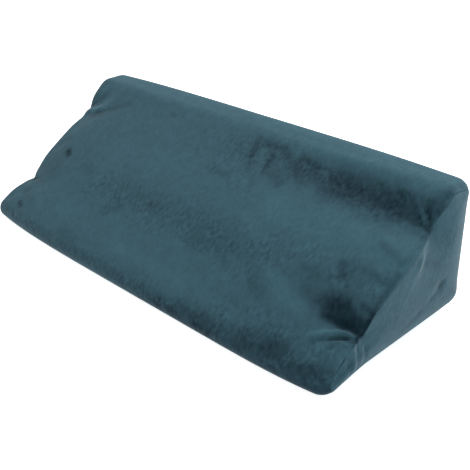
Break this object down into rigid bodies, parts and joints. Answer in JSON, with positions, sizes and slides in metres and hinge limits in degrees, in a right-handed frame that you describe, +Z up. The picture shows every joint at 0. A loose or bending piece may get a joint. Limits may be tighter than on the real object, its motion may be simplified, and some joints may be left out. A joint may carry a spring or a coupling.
{
  "type": "wedge pillow",
  "caption": "Long foam wedge pillow in a velvet cover: a sloping face between a low toe and an upright back, with sewn-in end panels.",
  "frame": {"origin": "centre of the base, on the surface that the pillow lies on", "axes": "+X along the pillow's length, -Y towards the low toe, +Y towards the upright back, +Z up"},
  "size_m": [0.6094, 0.2674, 0.1718],
  "materials": {
    "velvet": "short-pile velvet, brushed in patches"
  },
  "bodies": {
    "root": {"cushion": "velvet", "end_panel_left": "velvet", "end_panel_right": "velvet"}
  },
  "joints": []
}
